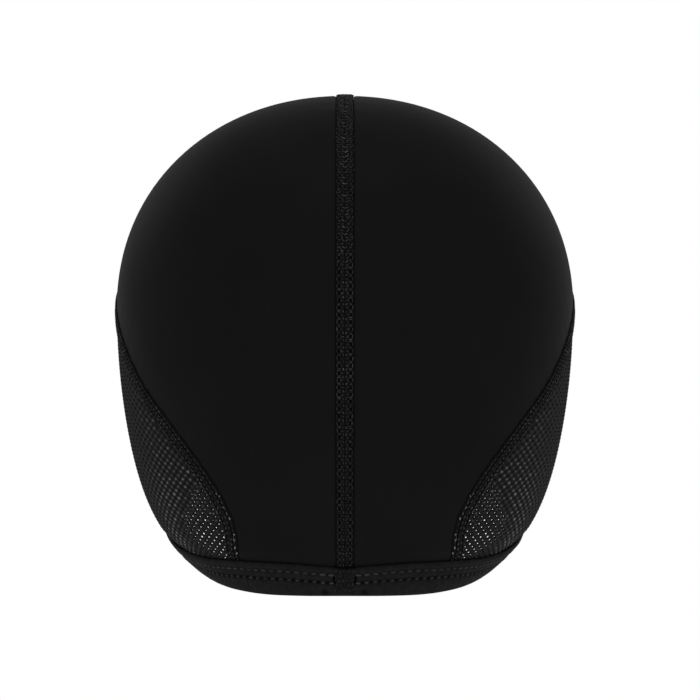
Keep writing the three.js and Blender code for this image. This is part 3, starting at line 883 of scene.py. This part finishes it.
def ear_glint_loops():
    """Small loops of thread at the foot of the ear seam, beside the crown panel, coloured bright as painted
    glints.
    """
    share = np.linspace(0, 0.5, LOOP_SAMPLES)
    side = GLINT_LOOP["across"] * EAR_SEAM["width"] / 2
    depth = -ear_line.beside(share, side)[:, 2]
    order = np.argsort(depth)
    share = np.interp(EAR_GLINT_LOOPS, depth[order], share[order])
    count = len(share)
    share = share + chance.normal(0, GLINT_LOOP_WANDER["along"], count)
    on_cloth = ear_line.beside(share, side + chance.normal(0, GLINT_LOOP_WANDER["across"], count))
    lean = chance.normal(0, GLINT_LOOP_WANDER["lean"], count)
    out = np.full(count, EAR_SEAM["rise"] * GLINT_LOOP["height"])
    length = GLINT_LOOP["length"] * chance.normal(1, GLINT_LOOP_WANDER["length"], count)
    thick = GLINT_LOOP["thick"] * chance.normal(1, GLINT_LOOP_WANDER["thick"], count)
    points, faces, painted_shine = stitches(ear_line, share, on_cloth, out, lean, length, thick)
    return points, faces, np.full(len(painted_shine), GLINT_LOOP["painted_shine"])


def joined(*parts):
    """Points, faces and values of several bodies as one."""
    faces, start = [], 0
    for points, some, _ in parts:
        faces += [[corner + start for corner in face] for face in some]
        start += len(points)
    return np.vstack([p for p, _, _ in parts]), faces, np.concatenate([v for _, _, v in parts])


def make_middle_seam():
    band = new_piece("middle_strip", *strip(middle_line, MIDDLE_SEAM, LADDER_HOLE))
    points, faces, painted_shine = joined(
        ladder(middle_line, MIDDLE_SEAM, LADDER, changes=True),
        ladder(middle_line, MIDDLE_SEAM, INSIDE_LADDER, inside=True),
    )
    return band, new_piece("middle_ladder", points, faces, None, {"painted_shine": painted_shine})


def make_ear_seams():
    bands = both_sides("ear_strip", *strip(ear_line, EAR_SEAM, EAR_HOLE))
    points, faces, painted_shine = joined(
        ladder(ear_line, EAR_SEAM, EAR_LADDER),
        ear_glint_loops(),
        ladder(ear_line, EAR_SEAM, INSIDE_LADDER, inside=True),
    )
    return bands, both_sides("ear_ladder", points, faces, None, {"painted_shine": painted_shine})


# The binding

HEM_STITCHES = round(hem.length / HEM_PITCH)


def shifted(height, round_hem):
    """A height on the binding's outer face, moved with its upper edge."""
    return height + edge_shift(round_hem) * between(height, EDGE_FOLLOWED)


def binding_relief(height, round_hem, phase):
    """How far the binding's outer face stands over or under its plain form, and the painted shade
    in its grooves, needle pits, creases, dent and the troughs of the nape's ribs."""
    aside, under = np.abs(round_hem), BINDING_WIDTH - height
    needle = (0.5 + 0.5 * np.cos(2 * math.pi * phase)) ** 2
    relief = EDGE_ROLL["rise"] * bump(under - EDGE_ROLL["under_edge"], EDGE_ROLL["half"])
    relief = relief - EDGE_TUCK["deep"] * bump(under, EDGE_TUCK["half"])
    # dark gathers painted shade in the grooves and pits; the ribs' troughs, creases and dent add theirs
    # below
    dark = 0
    for row in HEM_ROWS:
        groove = bump(under - row["under_edge"], GROOVE["half"])
        relief = relief - (GROOVE["deep"] + row["pit"] * needle) * groove
        dark = dark + (GROOVE["dark"] + needle) * groove * row["pit"] / GROOVE["pit_for_full_shade"]
    roll = bump(height - FOOT_ROLL["height"], FOOT_ROLL["half"]) * (1 - FOOT_ROLL["drawn_in"] * needle)
    sway = np.sin(round_hem / BAND_SWAY["wave"]) * np.sin(round_hem / BAND_SWAY["longer_wave"] + 1)
    relief = relief + FOOT_ROLL["rise"] * roll + BAND_SWAY["rise"] * sway * height / BINDING_WIDTH

    lump = np.exp(-((aside / NAPE_LUMP["half"]) ** 6)) * smooth(height / NAPE_LUMP["foot"])
    rib = np.cos(2 * math.pi * round_hem / NAPE_RIBS["pitch"])
    relief = relief * (1 - lump) + (NAPE_LUMP["rise"] + NAPE_RIBS["rise"] * rib) * lump
    dark = dark * (1 - lump) + NAPE_RIBS["dark"] * (1 - rib) * lump
    crease = bump(aside - NAPE_LUMP["half"], NAPE_CREASE["half"])
    crease = crease * smooth((height - NAPE_CREASE["low"]) / NAPE_CREASE["fade"])
    crease = crease * smooth((NAPE_CREASE["high"] - height) / NAPE_CREASE["fade"])
    wide, tall = NAPE_DENT["half"]
    dent = bump(aside - NAPE_DENT["aside"], wide) * bump(height - NAPE_DENT["height"], tall)
    relief = relief - NAPE_CREASE["deep"] * crease - NAPE_DENT["deep"] * dent
    return relief, dark + crease + NAPE_DENT["dark"] * dent


def binding_section():
    """The folded band's section: heights over its lower edge, distances from the shell, how much
    of the outer face's relief it takes, and whether it moves with the upper edge."""
    edge, wall, middle = BINDING_WIDTH, BINDING_WALL, (BINDING_OUTSIDE + BINDING_INSIDE) / 2
    outer = np.array([0.0, 0.0003, 0.0009, 0.0015, 0.0020, 0.0024, 0.0029, 0.0035, 0.0042])
    outer = edge - np.concatenate([outer, [0.0047, 0.0052, 0.0057, 0.0064, 0.0072, 0.0080]])
    angle = np.linspace(0, math.pi, 9)
    fold = [(FOLD_RADIUS * (1 - math.sin(a)), middle + FOLD_RADIUS * math.cos(a)) for a in angle]
    rows = [(height, BINDING_OUTSIDE, 1, 1) for height in outer]
    rows += [(height, out, max(math.cos(a), 0), 1) for (height, out), a in zip(fold, angle)]
    rows += [(height, BINDING_INSIDE, 0, 0) for height in (edge / 2, edge)]
    rows += [(height, BINDING_INSIDE + wall, 0, 0) for height in (edge, edge / 2, FOLD_RADIUS)]
    rows += [(height, BINDING_OUTSIDE - wall, 0, 1) for height in (FOLD_RADIUS, edge / 2, edge)]
    return np.array(rows).T


def make_binding():
    height, out, takes, moves = binding_section()
    phase = np.arange(HEM_STITCHES * STEPS_PER_STITCH) / STEPS_PER_STITCH
    share = (phase / HEM_STITCHES)[:, None]
    round_hem = from_nape(share)
    shift = (shifted(height[None], round_hem) - height) * moves
    on_cloth = hem.beside(share, height + shift)
    relief, dark = binding_relief(height[None], round_hem, phase[:, None])
    points, faces, uv = swept(off_cloth(on_cloth, out + takes * relief), closed=True)
    # the pit attribute carries the painted shade of the outer face
    return new_piece("hem_band", points, faces, uv, {"pit": (takes * dark).ravel()})


def hem_row(row, inside=False):
    """One row of the binding's stitches, which are longer and thicker beside the nape's lump, and outside
    carry brighter painted highlights there.
    """
    phase = np.arange(HEM_STITCHES) + 0.5
    round_hem = from_nape(phase / HEM_STITCHES)
    past_lump = np.abs(round_hem) - NAPE_LUMP["half"]
    kept = past_lump > BESIDE_LUMP["clear"]
    phase, round_hem, past_lump = phase[kept], round_hem[kept], past_lump[kept]
    count, share = len(phase), phase / HEM_STITCHES
    height = np.full(count, BINDING_WIDTH - row["under_edge"])
    on_cloth = hem.beside(share, shifted(height, round_hem))
    lean = row["lean"] * (-1) ** np.arange(count) + chance.normal(0, HEM_WANDER["lean"], count)
    strong = bump(past_lump - BESIDE_LUMP["reach"], BESIDE_LUMP["reach"])
    length = row["length"] * chance.normal(1, HEM_WANDER["length"], count)
    length = length * (1 + BESIDE_LUMP["length"] * strong)
    thick = row["thick"] * chance.normal(1, HEM_WANDER["thick"], count)
    thick = thick * (1 + BESIDE_LUMP["thick"] * strong)
    out = BINDING_OUTSIDE + binding_relief(height, round_hem, phase)[0]
    if inside:
        out = np.full(count, BINDING_INSIDE)
    points, faces, painted_shine = stitches(hem, share, on_cloth, out, np.radians(lean), length, thick, inside)
    if not inside:
        painted_shine = HEM_SHINE["least"] + HEM_SHINE["chance"] * painted_shine
        painted_shine = np.maximum(painted_shine, BESIDE_LUMP["painted_shine"] * per_corner(strong))
    return points, faces, painted_shine


def nape_bars():
    """Upright threads where the middle seam runs in under the binding, on its lump."""
    half = NAPE_LUMP["half"] * NAPE_BARS["across"]
    across = np.linspace(-half, half, NAPE_BARS["columns"])
    up = np.linspace(NAPE_BARS["low"], NAPE_BARS["high"], NAPE_BARS["rows"])
    round_hem, height = (column.ravel() for column in np.meshgrid(across, up))
    count = len(round_hem)
    round_hem = round_hem + chance.normal(0, BAR_WANDER["along"], count)
    height = height + chance.normal(0, BAR_WANDER["height"], count)
    length = NAPE_BAR["length"] * chance.normal(1, BAR_WANDER["length"], count)
    lean = math.pi / 2 - np.radians(chance.normal(0, BAR_WANDER["lean"], count))
    share = (round_hem / hem.length) % 1
    on_cloth = hem.beside(share, shifted(height, round_hem))
    out = BINDING_OUTSIDE + binding_relief(height, round_hem, np.full(count, 0.5))[0]
    thick = np.full(count, NAPE_BAR["thick"])
    points, faces, painted_shine = stitches(hem, share, on_cloth, out, lean, length, thick)
    # the upright threads' painted highlights are dimmer than the other stitches'
    return points, faces, NAPE_BAR["painted_shine"] * painted_shine


def make_hem_stitches():
    rows = [hem_row(row) for row in HEM_ROWS]
    points, faces, painted_shine = joined(*rows, nape_bars(), hem_row(INSIDE_ROW, inside=True))
    return new_piece("hem_stitches", points, faces, None, {"painted_shine": painted_shine})


# Materials

# the colour of the painted shade in needle holes, grooves, creases and dents
PAINTED_SHADE_BLACK = (0.0015, 0.0015, 0.0015, 1)
COOL = 1.03  # how much more blue than red and green a black cloth gives back

class Finish:
    """A material whose nodes are added one after another."""

    def __init__(self, name, roughness, specular=0.5):
        self.material = bpy.data.materials.new(name)
        self.material.use_nodes = True
        self.nodes = self.material.node_tree.nodes
        self.shader = self.nodes["Principled BSDF"]
        self.shader.inputs["Roughness"].default_value = roughness
        self.shader.inputs["Specular IOR Level"].default_value = specular

    def join(self, output, socket):
        self.material.node_tree.links.new(output, socket)

    def add(self, kind, inputs=None, **settings):
        node = self.nodes.new(kind)
        for key, value in settings.items():
            setattr(node, key, value)
        for key, value in (inputs or {}).items():
            if isinstance(value, bpy.types.NodeSocket):
                self.join(value, node.inputs[key])
            else:
                node.inputs[key].default_value = value
        return node

    def sum(self, operation, first, second=0.0, third=0.0):
        """A number worked out from others."""
        inputs = {0: first, 1: second, 2: third}
        return self.add("ShaderNodeMath", inputs, operation=operation).outputs[0]

    def noise(self, scale, detail):
        where = self.add("ShaderNodeTexCoord").outputs["Object"]
        inputs = {"Vector": where, "Scale": scale, "Detail": detail}
        return self.add("ShaderNodeTexNoise", inputs).outputs[0]

    def ramp(self, factor, *stops):
        """A colour ramp through stops, each a place and a grey."""
        node = self.add("ShaderNodeValToRGB", {"Fac": factor})
        elements = node.color_ramp.elements
        while len(elements) < len(stops):
            elements.new(1.0)
        for element, (place, grey) in zip(elements, stops):
            element.position = place
            element.color = (grey, grey, grey * COOL, 1)
        return node.outputs[0]

    def surface(self):
        """Distances over the cloth, across and along."""
        uv = self.add("ShaderNodeUVMap", uv_map="cloth").outputs[0]
        split = self.add("ShaderNodeSeparateXYZ", {0: uv})
        return split.outputs[0], split.outputs[1]

    def knit(self, wale, course):
        """The height of a fine plain knit: columns of stitches that lean both ways."""
        slant, loop_height = 1.1, 0.35
        across, along = self.surface()
        column = self.sum("PINGPONG", self.sum("DIVIDE", across, wale), 0.5)
        crown = self.sum("SINE", self.sum("MULTIPLY", column, math.pi))
        row = self.sum("MULTIPLY_ADD", column, slant, self.sum("DIVIDE", along, course))
        loop = self.sum("SINE", self.sum("MULTIPLY", row, 2 * math.pi))
        return self.sum("MULTIPLY_ADD", loop, loop_height, crown)

    def colour(self, output, painted_pit_shade=None):
        """The cloth's colour, darkened by painted shade where it has an attribute for it."""
        if painted_pit_shade:
            pit = self.add("ShaderNodeAttribute", attribute_name=painted_pit_shade).outputs["Fac"]
            dark = {0: self.sum("MINIMUM", pit, 1.0), 6: output, 7: PAINTED_SHADE_BLACK}
            output = self.add("ShaderNodeMix", dark, data_type="RGBA").outputs[2]
        self.join(output, self.shader.inputs["Base Color"])

    def relief(self, height, distance, strength, under=None):
        inputs = {"Height": height, "Distance": distance, "Strength": strength}
        if under:
            inputs["Normal"] = under
        node = self.add("ShaderNodeBump", inputs)
        self.join(node.outputs[0], self.shader.inputs["Normal"])
        return node.outputs[0]

    def put_on(self, *pieces):
        for piece in pieces:
            piece.data.materials.clear()
            piece.data.materials.append(self.material)


def crown_knit():
    finish = Finish("crown_knit_black", roughness=0.4, specular=0.0245)
    cloth = finish.ramp(finish.noise(scale=38, detail=4), (0.3, 0.0173), (0.7, 0.0200))
    lint = finish.ramp(finish.noise(scale=5200, detail=0), (0.80, 0.0), (0.88, 0.05))
    mixed = finish.add(
        "ShaderNodeMix", {0: 1.0, 6: cloth, 7: lint}, data_type="RGBA", blend_type="ADD"
    )
    finish.colour(mixed.outputs[2])
    fuzz = finish.relief(finish.noise(scale=2600, detail=3), distance=0.00004, strength=0.4)
    knit = finish.knit(wale=0.00062, course=0.00048)
    finish.relief(knit, distance=0.00003, strength=0.5, under=fuzz)
    return finish


def net_yarn():
    finish = Finish("net_yarn_black", roughness=0.6, specular=0.06)
    # painted glints: the attribute lifts the yarn's colour at its knots
    painted_knot_glint = finish.add("ShaderNodeAttribute", attribute_name="painted_knot_glint").outputs["Fac"]
    wander = 0.5
    uneven = finish.noise(scale=900, detail=1)
    spot = finish.sum("MULTIPLY_ADD", uneven, wander, finish.sum("SUBTRACT", painted_knot_glint, wander / 2))
    finish.colour(finish.ramp(spot, (0.0, 0.024), (0.54, 0.030), (0.80, 0.09), (1.0, 0.30)))
    finish.relief(finish.noise(scale=4200, detail=2), distance=0.00008, strength=0.6)
    return finish


def seam_cloth(name, dark, pale):
    finish = Finish(name, roughness=0.75, specular=0.03)
    uneven = finish.noise(scale=700, detail=3)
    finish.colour(finish.ramp(uneven, (0.3, dark), (0.7, pale)), painted_pit_shade="pit")
    finish.relief(finish.knit(wale=0.0005, course=0.0004), distance=0.00008, strength=0.7)
    return finish


def sewing_thread(name, gain):
    """Glossy thread, whose stitches carry painted highlights in their colour, brighter or duller from one to
    the next.
    """
    finish = Finish(name, roughness=0.45, specular=0.12)
    painted_shine = finish.add("ShaderNodeAttribute", attribute_name="painted_shine").outputs["Fac"]
    stops = [(0.0, 0.026), (0.48, 0.066), (0.74, 0.1), (0.8, 0.15), (1.0, 0.42)]
    finish.colour(finish.ramp(painted_shine, *[(place, grey * gain) for place, grey in stops]))
    twist = finish.add(
        "ShaderNodeTexWave",
        {"Vector": finish.add("ShaderNodeTexCoord").outputs["Object"], "Scale": 1500.0},
        bands_direction="DIAGONAL",
    ).outputs[1]
    finish.relief(twist, distance=0.00005, strength=0.6)
    return finish


def binding_knit():
    finish = Finish("binding_knit_black", roughness=0.6, specular=0.03)
    uneven = finish.noise(scale=650, detail=4)
    finish.colour(finish.ramp(uneven, (0.3, 0.021), (0.7, 0.033)), painted_pit_shade="pit")
    fuzz = finish.relief(finish.noise(scale=800, detail=4), distance=0.00025, strength=0.5)
    knit = finish.knit(wale=0.00055, course=0.0005)
    finish.relief(knit, distance=0.00008, strength=0.6, under=fuzz)
    return finish


def floor_paint():
    finish = Finish("pale_floor", roughness=0.8)
    finish.colour(finish.ramp(finish.noise(scale=3, detail=2), (0.3, 0.9), (0.7, 0.93)))
    finish.shader.inputs["Emission Color"].default_value = (1, 1, 1, 1)
    finish.shader.inputs["Emission Strength"].default_value = FLOOR["glow"]
    return finish


# The stage


def make_floor():
    bpy.ops.object.select_all(action="DESELECT")
    place, radius = (0, 0, FLOOR["level"]), FLOOR["radius"]
    bpy.ops.mesh.primitive_circle_add(vertices=96, radius=radius, fill_type="NGON", location=place)
    floor = bpy.context.object
    floor.name = "floor"
    floor_paint().put_on(floor)


def add_light(name, place, size, power):
    """A soft square light at a place, turned to the cap."""
    bpy.ops.object.light_add(type="AREA", location=place)
    light = bpy.context.object
    light.name = name
    light.data.size = size
    light.data.energy = power
    light.rotation_euler = (Vector(CAP_MIDDLE) - Vector(place)).to_track_quat("-Z", "Y").to_euler()


def light_stage():
    for side, sign in SIDES.items():
        add_light(f"side_light_{side}", (sign * 0.95, 1.05, 0.6), size=0.7, power=0.3)
    add_light("top_light", (0, -0.3, 1.3), size=1.0, power=1.6)
    world = bpy.context.scene.world or bpy.data.worlds.new("white_room")
    bpy.context.scene.world = world
    world.use_nodes = True
    tree = world.node_tree
    room = tree.nodes["Background"]
    room.inputs["Color"].default_value = (1, 1, 1, 1)
    seen = tree.nodes.new("ShaderNodeLightPath")
    level = tree.nodes.new("ShaderNodeMapRange")
    tree.links.new(seen.outputs["Is Camera Ray"], level.inputs["Value"])
    level.inputs["To Min"].default_value = ROOM["light"]
    level.inputs["To Max"].default_value = ROOM["seen"]
    tree.links.new(level.outputs[0], room.inputs["Strength"])
    bpy.context.scene.view_settings.view_transform = "Standard"


def place_camera():
    aside = (PHOTO_PIXELS - 1) / 2 - CAP_MIDDLE_PIXEL
    place = (aside * PIXEL, -CAMERA_DISTANCE, CAMERA_LEVEL - aside * PIXEL)
    bpy.ops.object.camera_add(location=place, rotation=(math.pi / 2, 0, 0))
    camera = bpy.context.object
    camera.data.lens = camera.data.sensor_width * CAMERA_DISTANCE / (PHOTO_PIXELS * PIXEL)
    bpy.context.scene.camera = camera


def dress(piece, slot, *nodes):
    """Ties a piece to the frame: its body and the solids it stands for, which it hides. Its slot is not
    used.
    """
    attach(piece, "root")
    if nodes:
        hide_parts(*nodes)


place_camera()
make_floor()
light_stage()

crowns = make_crown()
nets = make_nets()
middle_strip, middle_ladder = make_middle_seam()
ear_strips, ear_ladders = make_ear_seams()
hem_band = make_binding()
hem_stitches = make_hem_stitches()

crown_knit().put_on(*crowns.values())
net_yarn().put_on(*nets.values())
seam_cloth("middle_seam_black", dark=0.008, pale=0.020).put_on(middle_strip)
seam_cloth("ear_seam_black", dark=0.014, pale=0.026).put_on(*ear_strips.values())
# gain scales the threads' painted highlights
sewing_thread("seam_thread_black", gain=1.2).put_on(middle_ladder)
sewing_thread("ear_thread_black", gain=1.5).put_on(*ear_ladders.values())
sewing_thread("hem_thread_black", gain=1.15).put_on(hem_stitches)
binding_knit().put_on(hem_band)

for side in SIDES:
    dress(crowns[side], "crown_knit", f"crown_panel_{side}")
    dress(nets[side], "ear_net", f"ear_net_{side}")
    dress(ear_strips[side], "seam_thread", f"ear_seam_{side}")
    dress(ear_ladders[side], "seam_thread")
dress(middle_strip, "seam_thread", "middle_seam")
dress(middle_ladder, "seam_thread")
dress(hem_band, "binding_knit", "hem_binding")
dress(hem_stitches, "seam_thread")
